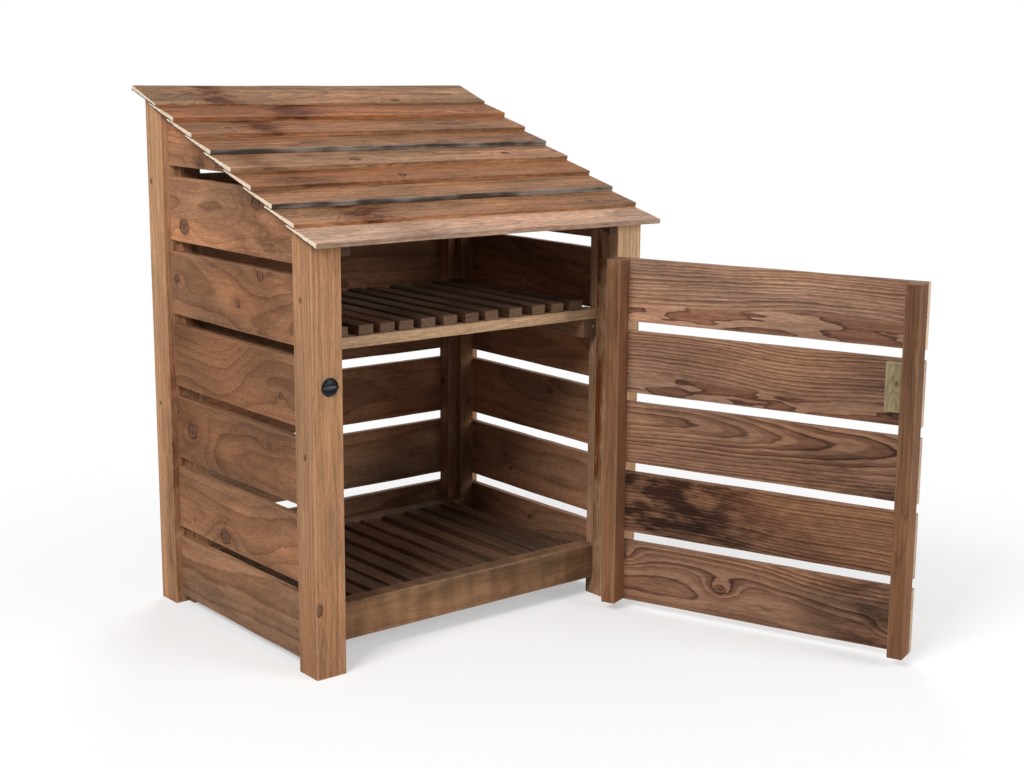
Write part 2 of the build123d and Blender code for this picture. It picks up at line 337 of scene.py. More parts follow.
# ring profiles as (place in the ring, darkness)
softLate = [(0.0, 0.0), (0.35, 0.12), (0.8, 0.8), (0.93, 0.9), (1.0, 0.0)]
softLine = [(0.0, 0.15), (0.1, 0.0), (0.74, 0.0), (0.92, 1.0), (1.0, 0.15)]
hardLate = [(0.0, 0.0), (0.36, 0.06), (0.45, 0.8), (0.86, 0.9), (0.97, 0.5), (1.0, 0.0)]
hardLine = [(0.0, 0.1), (0.05, 0.0), (0.76, 0.0), (0.85, 1.0), (0.94, 0.9), (1.0, 0.1)]
# scales are per metre along, across and through the board
plainTimber = {
    "seedShift": (3.7, 1.9, 2.3), "lumpScale": (48, 85, 85), "bendRun": 0.13,
    "early": (0.355, 0.179, 0.096), "late": (0.208, 0.094, 0.048), "line": (0.100, 0.044, 0.023),
    "lateDepth": 0.7, "lineDepth": 0.4, "lateStops": softLate, "lineStops": softLine,
    "fineLines": 0.0, "finePerRing": 4.0, "crowd": 1.4, "crowdScale": 0.45, "ringVary": 0.6,
    "wander": 0.07, "wanderV": (2.0, 3.0, 3.0), "wanderW": (2.6, 3.9, 3.9),
    "jag": 0.011, "jagScale": (7, 34, 34), "fray": 0.0016,
    "island": None, "islandBand": (0.046, 0.030), "islandCalm": 0.8, "islandScale": (5.5, 34, 34),
    "islandEdge": (0.475, 0.495, 0.545), "islandDepth": 0.8, "islandRim": 0.7,
    "knotReach": 2.7, "knotPush": 2.6, "knotSwirl": 0.25, "knotOval": 0.6, "knotLumps": 1.3, "knotFar": 99.0,
    "knotSkin": 0.0, "knotHide": 9.0, "crossKnots": (),
    "knot": (0.145, 0.071, 0.042), "knotFade": (1.12, 0.82, 0.0, 0.8), "whorls": 19.0, "whorlDepth": 0.2,
    "halo": (1.12, 1.0, 0.9), "haloFade": (2.6, 1.0, 0.0, 0.45), "pithFade": (0.4, 0.1, 0.0, 0.55),
    "knotRim": (0.032, 0.017, 0.011), "rimOuter": (1.34, 1.04), "rimInner": (0.7, 1.0),
    "rimBreaks": (-0.2, 0.14, 0.15, 0.9),
    "blotch": 0.28, "blotchScale": (3.0, 12, 12), "blotchSpan": (0.28, 0.72),
    "streak": 0.18, "streakScale": (2.6, 130, 130), "streakLift": 0.6,
    "fibre": 0.12, "fibreScale": (50, 900, 900), "grit": 0.16, "gritScale": (34, 210, 210),
    "scuff": 0.0, "scuffScale": (22.0, 7.0), "scuffSpan": (0.36, 0.66),
    "hue": 0.9, "hueScale": (2.3, 8, 8), "warmTint": (0.18, -0.11, -0.33),
    "stainAndShade": (0.20, 0.18, 0.18), "stainAndShadeScale": (11, 30, 30), "stainAndShadeSpan": (0.34, 0.62), "stainAndShadeEven": 0.2,
    "stainBack": 1.0, "stainThrough": (-0.9, 0.9),
    "wear": 0.35, "wearWidth": (0.0042, 0.0004), "wearWaver": 0.006, "wornColour": (0.36, 0.21, 0.125),
    "end": (0.30, 0.175, 0.10), "endWidth": (0.0016, 0.0008), "endRings": 0.5, "endTone": 1.0,
    "endStreak": 0.12, "endTaper": 0.0, "endLapShade": (0.09, 0.05, 0.03), "endLapShadeWidth": (0.0030, 0.0016),
    "edgeWaver": 0.004, "silver": False, "silverWidth": (0.0052, 0.0028), "silverScale": (9, 20, 20),
    "silverMix": (0.5, 0.9), "silverSpan": (0.6, 0.86),
    "greyDark": (0.060, 0.048, 0.040), "greyPale": (0.24, 0.205, 0.18),
    "sawLines": 1500.0, "sawDepth": 0.12, "sawWaver": 2.5, "sawTint": 0.0,
    "lift": 0.0007, "bump": 0.6, "gloss": 0.10, "rough": (0.66, 0.86),
}
roofLook = {
    "early": (0.390, 0.194, 0.100), "late": (0.256, 0.115, 0.057), "line": (0.105, 0.050, 0.029),
    "wander": 0.03, "jag": 0.007, "lineDepth": 0.5, "streak": 0.32, "blotch": 0.30, "grit": 0.27,
    "fibre": 0.2, "silver": True, "wear": 0.4, "wornColour": (0.40, 0.25, 0.155),
    "end": (0.86, 0.70, 0.54), "endRings": 0.25, "endTone": 0.2, "endTaper": 0.006,
    "knotLumps": 2.4, "halo": (1.2, 1.0, 0.85), "knot": (0.095, 0.046, 0.026),
    "knotRim": (0.026, 0.014, 0.010), "stainAndShade": (0.36, 0.21, 0.14),
    "greyDark": (0.066, 0.049, 0.039), "greyPale": (0.27, 0.222, 0.186), "sawDepth": 0.25, "gloss": 0.04,
}
timberLooks = {
    "wall": {
        "early": (0.308, 0.154, 0.083), "late": (0.190, 0.086, 0.045), "lateDepth": 0.62,
        "fineLines": 0.30, "lineDepth": 0.42, "streak": 0.10, "fibre": 0.18, "gritScale": (60, 260, 260)},
    "post": {
        "early": (0.46, 0.242, 0.125), "late": (0.34, 0.163, 0.080), "line": (0.20, 0.088, 0.044),
        "wander": 0.012, "jag": 0.0022, "blotch": 0.12, "hue": 0.6, "lineDepth": 0.35, "fray": 0.0006,
        "wear": 0.5, "wornColour": (0.49, 0.285, 0.16), "end": (0.34, 0.20, 0.12), "fibre": 0.19,
        "grit": 0.17, "gritScale": (9, 240, 240), "stainAndShade": (0.23, 0.105, 0.045), "stainAndShadeEven": 0.55,
        "knotSkin": 0.006, "knotPush": 1.2, "crossKnots": ("knotC",)},
    "roof": roofLook,
    "eave": {
        **roofLook,
        "early": (0.56, 0.352, 0.243), "late": (0.44, 0.265, 0.178), "line": (0.24, 0.14, 0.095),
        "hue": 0.5, "streak": 0.2, "blotch": 0.2},
    "door": {
        "early": (0.38, 0.220, 0.142), "late": (0.175, 0.079, 0.048), "line": (0.052, 0.026, 0.018),
        "lateDepth": 0.9, "lineDepth": 0.85, "lateStops": hardLate, "lineStops": hardLine, "wander": 0.03,
        "jag": 0.010, "jagScale": (6, 26, 26), "fray": 0.0012, "island": (0.185, 0.078, 0.048),
        "blotch": 0.22, "fibre": 0.2, "end": (0.66, 0.50, 0.36),
        "stainAndShade": (0.16, 0.14, 0.14), "stainAndShadeScale": (10, 34, 34), "stainAndShadeEven": 0.3, "stainBack": 0.35},
    "stile": {
        "early": (0.225, 0.104, 0.053), "late": (0.165, 0.071, 0.035), "line": (0.10, 0.042, 0.021),
        "wander": 0.02, "jag": 0.004, "blotch": 0.16, "grit": 0.18, "gritScale": (9, 240, 240),
        "wornColour": (0.33, 0.19, 0.11), "end": (0.24, 0.14, 0.085)},
    "batten": {
        "early": (0.31, 0.170, 0.095), "late": (0.20, 0.098, 0.050),
        "wander": 0.03, "jag": 0.005, "end": (0.17, 0.098, 0.058), "sawDepth": 0.3},
    # slats, also used for the rafters: darker than the battens' timber, painted shade for the dim inside of
    # the store
    "slat": {
        "early": (0.155, 0.082, 0.047), "late": (0.090, 0.043, 0.024),
        "wander": 0.03, "jag": 0.005, "end": (0.17, 0.100, 0.062), "wornColour": (0.19, 0.110, 0.070)},
    "sawn": {
        "early": (0.55, 0.348, 0.203), "late": (0.465, 0.28, 0.158), "line": (0.33, 0.190, 0.105),
        "wander": 0.02, "jag": 0.004, "sawLines": 1150.0, "sawDepth": 0.6, "sawTint": 0.07, "blotch": 0.12,
        "streak": 0.08, "hue": 0.3},
    "rail": {
        "early": (0.196, 0.121, 0.070), "late": (0.163, 0.100, 0.058), "line": (0.110, 0.066, 0.039),
        "wander": 0.03, "jag": 0.006, "hue": 0.4, "wear": 0.75, "wornColour": (0.29, 0.195, 0.13),
        "streak": 0.08, "grit": 0.07, "scuff": 0.18, "end": (0.16, 0.10, 0.065)},
    "pale": {
        "early": (0.33, 0.255, 0.148), "late": (0.23, 0.175, 0.094), "line": (0.11, 0.084, 0.044),
        "wander": 0.02, "jag": 0.004, "hue": 0.3, "wear": 0.6, "wornColour": (0.40, 0.33, 0.21),
        "end": (0.42, 0.33, 0.22)},
}
timbers = {kind: timberMaterial(kind + "Timber", {**plainTimber, **look})
           for kind, look in timberLooks.items()}


# black paint on iron, a little rubbed, with painted sheen on the thumb bar, and dull nail steel
def ironMaterial(name, look):
    b = NodeBench(bpy.data.materials.new(name))
    place = b.node("ShaderNodeTexCoord").outputs["Object"]
    cast = b.noise(place, scale=look["castScale"], detail=3.0, rough=0.6)
    cloud = b.noise(place, scale=look["cloudScale"], detail=2.0)
    colour = b.mix(b.fade(cloud, *midSpan), look["dark"], look["light"])
    rough = b.fade(cloud, *midSpan, look["smooth"], look["smooth"] + look["roughRange"])
    return b.finish(colour, rough, cast, look["lift"], look["bump"], look["metal"], look["gloss"])


plainIron = {"castScale": 420.0, "cloudScale": 60.0, "roughRange": 0.16, "lift": 0.0004, "bump": 0.35}
iron = ironMaterial("blackIron", {
    **plainIron, "dark": (0.003, 0.0035, 0.005), "light": (0.007, 0.008, 0.011),
    "metal": 0.0, "smooth": 0.22, "gloss": 0.16})
# the thumb bar's paler patches are partly rubbed paint and partly painted highlight
rubbedIronAndSheen = ironMaterial("rubbedIronAndSheen", {
    **plainIron, "dark": (0.010, 0.011, 0.014), "light": (0.048, 0.051, 0.058),
    "metal": 0.3, "smooth": 0.22, "gloss": 0.4})
nailSteel = ironMaterial("nailSteel", {
    **plainIron, "dark": (0.12, 0.10, 0.085), "light": (0.26, 0.235, 0.21),
    "metal": 0.3, "smooth": 0.5, "gloss": 0.25})
print("materials made:", len(bpy.data.materials))


# the boards of one node as lists of vertices
def islandsOf(bm):
    seen = set()
    found = []
    for start in bm.verts:
        if start in seen:
            continue
        seen.add(start)
        island = [start]
        for vert in island:
            for edge in vert.link_edges:
                other = edge.other_vert(vert)
                if other not in seen:
                    seen.add(other)
                    island.append(other)
        found.append(island)
    return found


meshing = {"merge": 0.00002, "cutMerge": 0.00001, "boardFlat": 1.5, "ironFlat": 1.0, "normalWeight": 60}


# a merged copy of a CAD node's mesh, with its flat faces whole again
def copyOf(node, flatAngle):
    bm = bmesh.new()
    bm.from_mesh(nodes[node].data)
    bmesh.ops.remove_doubles(bm, verts=bm.verts[:], dist=meshing["merge"])
    bmesh.ops.dissolve_limit(bm, angle_limit=math.radians(flatAngle), verts=bm.verts[:], edges=bm.edges[:])
    return bm


def sharpEdges(bm, angle):
    return [edge for edge in bm.edges if edge.calc_face_angle(0) > math.radians(angle)]


def easeEdges(bm, edges, ease, segments):
    bmesh.ops.bevel(bm, geom=edges, offset=ease, offset_type="OFFSET", segments=segments, profile=0.5,
                    affect="EDGES", clamp_overlap=True, material=-1)


def settle(bm, name, material, body):
    mesh = bpy.data.meshes.new(name)
    bm.to_mesh(mesh)
    bm.free()
    for face in mesh.polygons:
        face.use_smooth = True
    mesh.materials.append(material)
    piece = bpy.data.objects.new(name, mesh)
    scene.collection.objects.link(piece)
    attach(piece, body)
    return piece


pieces = {}


# a finished piece in the place of its node
def takePlace(piece, node):
    piece.modifiers.new("evenNormals", "WEIGHTED_NORMAL").weight = meshing["normalWeight"]
    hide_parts(node)
    pieces[node] = piece


# what each board draws for itself where its plan says nothing
boardChance = {
    "seed": (1, 90), "heartV": (-0.04, 0.04), "heartW": (0.03, 0.08), "lean": (-0.05, 0.05),
    "bendU": (-0.5, 0.5), "bendV": (-0.04, 0.04), "either": (-1, 1), "warm": (-0.35, 0.35),
    "stainAndShadeReach": 0.08, "stainAndShadeDepth": (-1.2, 0.6),
    "knots": 2, "knotU": (-0.85, 0.85), "knotV": (-0.8, 0.8), "knotR": (0.004, 0.009), "noKnot": (9, 9, 0),
}
basePlan = {
    "slot": "batten_timber", "finish": "batten", "body": "frame", "ease": 0.0011, "cutStep": 0.06,
    "bow": 0.0006, "cup": 0.0, "wave": 0.0004, "waveScale": (7, 3), "edgeScale": 12, "edgeRows": (5, 9),
    "ringRange": (0.006, 0.010), "knotChance": 0.35, "toneSpread": 0.12,
}


# a node's boards with eased edges, a little warp and their own grain
def timberPiece(node, ownPlan):
    plan = {**basePlan, **ownPlan}
    rng = random.Random(plan["seed"])
    along = plan["along"].normalized()
    across = plan["across"].normalized()
    axes = (along, across, along.cross(across))

    def draw(key):
        return rng.uniform(*boardChance[key])

    bm = copyOf(node, meshing["boardFlat"])
    easeEdges(bm, bm.edges[:], plan["ease"], 2)
    reach = [vert.co.dot(along) for vert in bm.verts]
    start, run = min(reach), max(reach) - min(reach)
    cuts = max(2, round(run / plan["cutStep"]))
    for i in range(1, cuts):
        bmesh.ops.bisect_plane(bm, geom=bm.verts[:] + bm.edges[:] + bm.faces[:], dist=meshing["cutMerge"],
                               plane_co=along * (start + run * i / cuts), plane_no=along)
    keys = ("grain", "half", "board", "heart", "figure", "knotA", "knotB", "knotC", "stainAndShade", "weatherAndShade")
    layers = {key: bm.verts.layers.float_vector.new(key) for key in keys}
    boards = islandsOf(bm)
    boards.sort(key=lambda verts: sum(vert.co.dot(across) for vert in verts) / len(verts))
    for i, verts in enumerate(boards):
        low = [min(vert.co.dot(axis) for vert in verts) for axis in axes]
        high = [max(vert.co.dot(axis) for vert in verts) for axis in axes]
        middle = [(a + b) / 2 for a, b in zip(low, high)]
        half = [(b - a) / 2 for a, b in zip(low, high)]
        seed = draw("seed")
        drawn = {
            "heart": (draw("heartV"), -draw("heartW"), rng.uniform(*plan["ringRange"])),
            "figure": (draw("lean"), draw("bendU") * half[0], draw("bendV")),
            "tone": draw("either") * plan["toneSpread"], "warm": draw("warm"),
            "stainAndShade": (draw("either") * half[0], boardChance["stainAndShadeReach"], draw("stainAndShadeDepth")),
        }
        drawnKnots = [(draw("knotU") * half[0], draw("knotV") * half[1], draw("knotR"))
                      for k in range(boardChance["knots"])]
        drawn["knots"] = [knot for knot in drawnKnots if rng.random() < plan["knotChance"]]
        own = {**drawn, "weatherAndShade": (0, 0, 0), **plan.get("every", {}), **plan.get("boards", {}).get(i, {})}
        knots = list(own["knots"]) + [boardChance["noKnot"]] * 3
        bow = draw("either") * plan["bow"]
        cup = draw("either") * plan["cup"]
        values = {
            "half": half, "board": (seed, own["tone"], own["warm"]), "heart": own["heart"],
            "figure": own["figure"], "knotA": knots[0], "knotB": knots[1], "knotC": knots[2],
            "stainAndShade": own["stainAndShade"], "weatherAndShade": own["weatherAndShade"],
        }
        waveU, waveV = plan["waveScale"]
        upperRow, lowerRow = plan["edgeRows"]
        for vert in verts:
            u, v, w = (vert.co.dot(axis) - centre for axis, centre in zip(axes, middle))
            vert[layers["grain"]] = (u, v, w)
            for key, value in values.items():
                vert[layers[key]] = value
            inner = max(0.0, 1 - (u / half[0]) ** 2)
            lift = noise.noise(Vector((u * waveU, v * waveV, seed))) * plan["wave"]
            row = upperRow if v > 0 else lowerRow
            edge = noise.noise(Vector((u * plan["edgeScale"], seed, row))) * plan["wave"]
            vert.co += axes[2] * inner * (bow + cup * (v / half[1]) ** 2 + lift)
            vert.co += across * edge * v / half[1]
    name = node.replace("_", "-") + "-timber"
    piece = settle(bm, name, timbers[plan["finish"]], plan["body"])
    takePlace(piece, node)


# A board's own words, in metres from its middle: heart (across, through, ring width), figure (lean, place
# and size of the bend), knots (along, across, radius), stainAndShade (along, reach, depth), weatherAndShade
# (grey front edge or islands, slope and lift of the stain). The stain is a real stain on most boards and
# painted shade on the front right post.
noStain = (0, 1, 0)

# posts: knots A and B lie on the left face, C on the front face
postPlan = {
    "slot": "post_timber", "finish": "post", "along": upright, "across": backwards,
    "ease": 0.0008, "bow": 0.0, "wave": 0.0002, "knotChance": 0.8, "every": {"stainAndShade": noStain},
}
posts = {
    "front_left_post": {"seed": 11, "boards": {0: {
        "heart": (0.09, -0.07, 0.0075), "figure": (0.01, 0, 0.01), "tone": -0.05, "warm": 0.0,
        "knots": [(0.34, 0.006, 0.0045), (0.0, -0.002, 0.005), (-0.335, 0.032, 0.010)],
        "stainAndShade": (-0.46, 0.2, 0.18)}}},
    # front right post: the stain is painted shade, darkening its inner face towards the top and rear; the
    # paler, cooler tone is painted light on its front face
    "front_right_post": {"seed": 12, "boards": {0: {
        "heart": (-0.10, -0.06, 0.008), "tone": 0.54, "warm": -0.6, "knots": [],
        "stainAndShade": (0.48, 1.3, 0.68), "weatherAndShade": (0, 0, 0.8)}}},
    # rear left post: the stain darkens it towards its foot, reaching higher along the front edge of its left
    # face
    "rear_left_post": {"seed": 13, "boards": {0: {
        "heart": (0.07, 0.10, 0.008), "tone": 0.38, "warm": -0.2,
        "knots": [(0.42, 0.02, 0.005), (-0.12, 0.01, 0.004)],
        "stainAndShade": (-0.75, 0.75, 0.5), "weatherAndShade": (0, 12.0, -0.25)}}},
    "rear_right_post": {"seed": 14},
}
for node, own in posts.items():
    timberPiece(node, {**postPlan, **own})
print("posts dressed")

# upright battens, rafters, ledgers and shelf bearers
battens = {
    "front_left_batten": (upright, sideways), "front_right_batten": (upright, sideways),
    "rear_left_batten": (upright, sideways), "rear_right_batten": (upright, sideways),
    "back_left_batten": (upright, backwards), "back_right_batten": (upright, backwards),
    "left_shelf_bearer": (backwards, upright), "right_shelf_bearer": (backwards, upright),
    "front_ledger": (sideways, upright), "rear_ledger": (sideways, upright),
    "shelf_rear_rail": (sideways, upright),
}
for i, (node, (along, across)) in enumerate(battens.items()):
    timberPiece(node, {"along": along, "across": across, "seed": 30 + i})
# rafters: the lower tone is painted shade under the eaves
rafterPlan = {"finish": "slat", "along": backwards, "across": upright, "every": {"tone": -0.4}}
for i, node in enumerate(("left_rafter", "right_rafter")):
    timberPiece(node, {**rafterPlan, "seed": 46 + i})

# rails: dark scuffed ones at the foot, a fresh sawn one along the shelf
railPlan = {
    "slot": "rail_timber", "finish": "rail", "along": sideways, "across": upright, "ease": 0.0014,
    "boards": {0: {"knots": [], "tone": 0.08, "warm": 0.45, "stainAndShade": (-0.39, 0.06, 0.5)}},
}
for i, node in enumerate(("front_rail", "rear_rail")):
    timberPiece(node, {**railPlan, "seed": 51 + i})
timberPiece("shelf_front_rail", {
    "finish": "sawn", "along": sideways, "across": upright, "seed": 55,
    "boards": {0: {"knots": [], "stainAndShade": noStain, "warm": -0.1}}})
print("battens and rails dressed")

# side and back walls, lowest board first
wallPlan = {
    "slot": "wall_timber", "finish": "wall", "along": backwards, "across": upright,
    "bow": 0.0014, "cup": 0.0006, "wave": 0.0011, "ringRange": (0.018, 0.028),
}
leftBoards = {
    0: {"heart": (0.05, -0.05, 0.024), "figure": (0.02, 0.05, 0.02), "tone": 0.10, "warm": -0.25,
        "knots": [(-0.27, 0.03, 0.004)], "stainAndShade": noStain},
    1: {"heart": (0.03, -0.05, 0.022), "figure": (-0.06, -0.15, 0.05), "tone": 0.08, "warm": 0.1,
        "knots": [(0.061, -0.050, 0.017), (0.215, -0.045, 0.004)], "stainAndShade": (0.061, 0.05, 0.35)},
    2: {"heart": (-0.02, -0.05, 0.021), "figure": (0.08, 0.1, -0.04), "tone": -0.22, "warm": 0.15,
        "knots": [(0.210, 0.0, 0.018), (-0.150, 0.035, 0.008)], "stainAndShade": (0.25, 0.12, 0.3)},
    3: {"heart": (0.0, -0.045, 0.022), "figure": (0.03, -0.03, 0.075), "tone": -0.22, "warm": 0.15,
        "knots": [(-0.206, -0.019, 0.007), (0.03, 0.01, 0.002)], "stainAndShade": noStain},
    4: {"heart": (-0.03, -0.055, 0.026), "figure": (0.05, -0.05, -0.05), "tone": 0.02, "warm": 0.05,
        "knots": [(-0.129, 0.061, 0.011), (-0.030, -0.014, 0.007), (0.266, 0.011, 0.010)],
        "stainAndShade": (-0.18, 0.16, 0.36)},
    5: {"heart": (0.03, -0.05, 0.020), "figure": (-0.09, 0.05, 0.03), "tone": 0.38, "warm": 0.02,
        "knots": [(0.222, -0.038, 0.017), (-0.114, 0.042, 0.014)], "stainAndShade": (-0.16, 0.17, 0.62)},
    6: {"heart": (-0.05, -0.06, 0.016), "figure": (0.02, 0, 0.01), "tone": 0.28, "warm": 0.02,
        "knots": [(0.012, -0.055, 0.011)], "stainAndShade": (0.012, 0.05, 0.3)},
}
timberPiece("left_side_boards", {**wallPlan, "seed": 61, "boards": leftBoards})
timberPiece("right_side_boards", {**wallPlan, "seed": 62})
timberPiece("back_boards", {**wallPlan, "along": sideways, "seed": 63})
print("walls dressed")

# slats of the floor and the shelf
slatPlan = {
    "finish": "slat", "along": backwards, "across": sideways, "ease": 0.0015,
    "bow": 0.0008, "wave": 0.0006, "toneSpread": 0.2,
}
timberPiece("floor_slats", {**slatPlan, "seed": 71})
timberPiece("shelf_slats", {**slatPlan, "seed": 72})

# roof boards, eave first; rows 3 and 6 have a grey weathered front edge
roofLean = math.radians(14)
roofPlan = {
    "slot": "roof_timber", "finish": "roof", "along": sideways,
    "across": Vector((0, math.cos(roofLean), math.sin(roofLean))),
    "ease": 0.0009, "bow": 0.0012, "cup": 0.0008, "wave": 0.0014,
}
roofBoards = {
    1: {"tone": 0.0, "warm": 0.0, "knots": [], "weatherAndShade": (0.35, 0, 0), "stainAndShade": (-0.2, 0.05, 0.4)},
    2: {"tone": -0.10, "warm": 0.0, "stainAndShade": (-0.28, 0.06, 1.5),
        "knots": [(-0.31, -0.02, 0.014), (-0.26, -0.045, 0.010), (0.36, -0.03, 0.006)]},
    3: {"tone": -0.03, "warm": -0.1, "knots": [], "weatherAndShade": (1, 0, 0)},
    4: {"tone": -0.22, "warm": 0.5, "stainAndShade": (-0.34, 0.06, 0.7),
        "knots": [(-0.07, -0.03, 0.010), (-0.35, -0.02, 0.009)]},
    5: {"tone": 0.03, "warm": -0.35, "stainAndShade": (-0.40, 0.04, 0.6),
        "knots": [(-0.141, -0.03, 0.011), (0.31, -0.02, 0.009)]},
    6: {"tone": -0.26, "warm": 0.1, "knots": [], "weatherAndShade": (1, 0, 0)},
    7: {"tone": -0.16, "warm": 0.15, "stainAndShade": (-0.28, 0.05, 1.3),
        "knots": [(-0.289, -0.035, 0.011), (-0.37, -0.02, 0.006)]},
    8: {"tone": -0.26, "warm": 0.8, "stainAndShade": (-0.15, 0.06, 1.8), "knots": [(0.36, -0.04, 0.006)]},
    9: {"tone": -0.05, "warm": -0.4, "stainAndShade": (-0.31, 0.05, 1.3),
        "knots": [(-0.326, -0.04, 0.012), (0.201, -0.045, 0.009)]},
}
for row, own in roofBoards.items():
    finish = "eave" if row == 1 else "roof"
    timberPiece(f"roof_board_{row}", {**roofPlan, "finish": finish, "seed": 80 + row, "boards": {0: own}})
print("roof dressed")

# door: boards outside, stiles and latch pad inside, lowest board first
doorTurn = math.radians(110)
doorRun = Vector((-math.cos(doorTurn), -math.sin(doorTurn), 0))
doorFront = upright.cross(doorRun)
doorPlan = {
    "slot": "door_timber", "finish": "door", "body": "door", "along": doorRun, "across": upright,
    "bow": 0.0012, "cup": 0.0006, "wave": 0.0009,
}
doorBoards = {
    0: {"heart": (-0.03, -0.05, 0.011), "figure": (0.03, 0.1, 0.03), "tone": -0.12, "warm": 0.3,
        "knots": [(-0.087, -0.007, 0.011), (-0.355, 0.035, 0.010), (0.35, -0.02, 0.009)],
        "stainAndShade": (0.33, 0.22, 0.8)},
    1: {"heart": (-0.15, -0.05, 0.008), "figure": (0.0, 0, 0.01), "tone": -0.17, "warm": 0.5,
        "knots": [], "stainAndShade": (-0.30, 0.42, 1.2), "weatherAndShade": (0, 1.0, 0.15)},
    2: {"heart": (0.035, -0.028, 0.0095), "figure": (0.075, 0, 0.0), "tone": -0.10, "warm": 0.3,
        "knots": [], "stainAndShade": (0.17, 0.24, 0.45), "weatherAndShade": (0, 1.4, -0.35)},
    3: {"heart": (-0.066, -0.036, 0.0075), "figure": (0.01, 0, 0.01), "tone": -0.10, "warm": 0.15,
        "knots": [], "stainAndShade": (0.34, 0.15, 0.5), "weatherAndShade": (1, 0, 0)},
    4: {"heart": (-0.070, -0.034, 0.0078), "figure": (-0.01, 0, -0.01), "tone": 0.12, "warm": 0.0,
        "knots": [], "stainAndShade": (0.38, 0.2, 0.28), "weatherAndShade": (1, 0, 0)},
}
timberPiece("door_boards", {**doorPlan, "seed": 91, "boards": doorBoards})
stilePlan = {
    **doorPlan, "finish": "stile", "along": upright, "across": doorRun,
    "bow": 0.0, "cup": 0.0, "wave": 0.0003,
    "every": {"knots": [], "stainAndShade": noStain, "tone": 0.0, "warm": 0.0},
}
timberPiece("door_hinge_stile", {
    **stilePlan, "seed": 92, "boards": {0: {"tone": 0.18, "warm": -0.2, "stainAndShade": (0.35, 0.4, 0.32)}}})
timberPiece("door_latch_stile", {
    **stilePlan, "seed": 93, "boards": {0: {"tone": 0.02, "warm": -0.15, "stainAndShade": (0.33, 0.35, 0.38)}}})
timberPiece("door_latch_pad", {
    **stilePlan, "slot": "pale_timber", "finish": "pale", "seed": 94,
    "boards": {0: {"heart": (0.0, -0.03, 0.008), "figure": (0.3, 0, 0), "knots": [(0.01, 0.004, 0.003)]}}})
print("door dressed")

hingeLeaf = {"ease": 0.0005, "sharpAngle": 40}


# ironwork: eased copies of the hinge leaves
def ironPiece(node, body):
    bm = copyOf(node, meshing["ironFlat"])
    easeEdges(bm, sharpEdges(bm, hingeLeaf["sharpAngle"]), hingeLeaf["ease"], 2)
    piece = settle(bm, node.replace("_", "-") + "-iron", iron, body)
    takePlace(piece, node)


for place in ("lower", "upper"):
    ironPiece(f"{place}_hinge_plate", "frame")
    ironPiece(f"{place}_hinge_strap", "door")


def cornersOf(node):
    return [Vector(corner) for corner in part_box(node)]


def middleOf(node):
    low, high = cornersOf(node)
    return (low + high) / 2


# a turned shape about a line, from (radius, height) points
def turned(bm, profile, centre, axis, steps):
    side = axis.orthogonal().normalized()
    verts = [bm.verts.new(centre + side * radius + axis * height) for radius, height in profile]
    edges = [bm.edges.new(pair) for pair in zip(verts, verts[1:])]
    bmesh.ops.spin(bm, geom=verts + edges, cent=centre, axis=axis, angle=math.tau, steps=steps,
                   use_merge=True)


def closeUp(bm):
    bmesh.ops.remove_doubles(bm, verts=bm.verts[:], dist=meshing["cutMerge"])
    bmesh.ops.recalc_face_normals(bm, faces=bm.faces[:])


# turn latch: a domed rose with a ring, and an arched thumb bar across it
latch = {
    "rose": [(0.0, 0.0), (0.0205, 0.0), (0.0205, 0.0012), (0.0199, 0.0022), (0.0186, 0.0026),
             (0.0176, 0.0024), (0.0168, 0.0010), (0.0142, 0.0010), (0.0134, 0.0026), (0.0124, 0.0032),
             (0.0095, 0.0036), (0.0, 0.0041)],
    "roseSteps": 56, "barLength": 0.039, "barWidth": 0.0075, "barHeight": 0.0050, "barEnd": 0.0018,
    "barEase": 0.0016, "barCuts": 11, "barTaper": 0.35, "taperPower": 4, "archPower": 0.8, "cornerAngle": 50,
    "rivet": [(0.0034, -0.0006), (0.0034, 0.0003), (0.0026, 0.0009), (0.0, 0.0012)], "rivetSteps": 20,
}
roseCentre = middleOf("latch_rose")
roseCentre.y = cornersOf("latch_rose")[1].y
barTop = Vector((roseCentre.x, cornersOf("latch_turn")[0].y, roseCentre.z))
bm = bmesh.new()
turned(bm, latch["rose"], roseCentre, -backwards, latch["roseSteps"])
closeUp(bm)
rose = settle(bm, "latch-rose-iron", iron, "frame")
rose.modifiers.new("evenNormals", "WEIGHTED_NORMAL").keep_sharp = True
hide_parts("latch_rose")

bm = bmesh.new()
bmesh.ops.create_cube(bm, size=1.0)
bmesh.ops.scale(bm, vec=(latch["barLength"], latch["barHeight"], latch["barWidth"]), verts=bm.verts[:])
lengthwise = [edge for edge in bm.edges
              if abs((edge.verts[0].co - edge.verts[1].co).x) > latch["barLength"] / 2]
bmesh.ops.subdivide_edges(bm, edges=lengthwise, cuts=latch["barCuts"], use_grid_fill=True)
archRise = latch["barHeight"] - latch["barEnd"]
for vert in bm.verts:
    share = min(1.0, abs(vert.co.x) / (latch["barLength"] / 2))
    vert.co.z *= 1 - latch["barTaper"] * share ** latch["taperPower"]
    if vert.co.y < 0:
        arch = latch["barEnd"] + archRise * math.cos(share * math.pi / 2) ** latch["archPower"]
        vert.co.y = latch["barHeight"] / 2 - arch
easeEdges(bm, sharpEdges(bm, latch["cornerAngle"]), latch["barEase"], 3)
bmesh.ops.translate(bm, vec=barTop + backwards * latch["barHeight"] / 2, verts=bm.verts[:])
turned(bm, latch["rivet"], barTop, -backwards, latch["rivetSteps"])
closeUp(bm)
thumbBar = settle(bm, "latch-turn-iron", rubbedIronAndSheen, "latch")
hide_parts("latch_turn")
print("ironwork made")


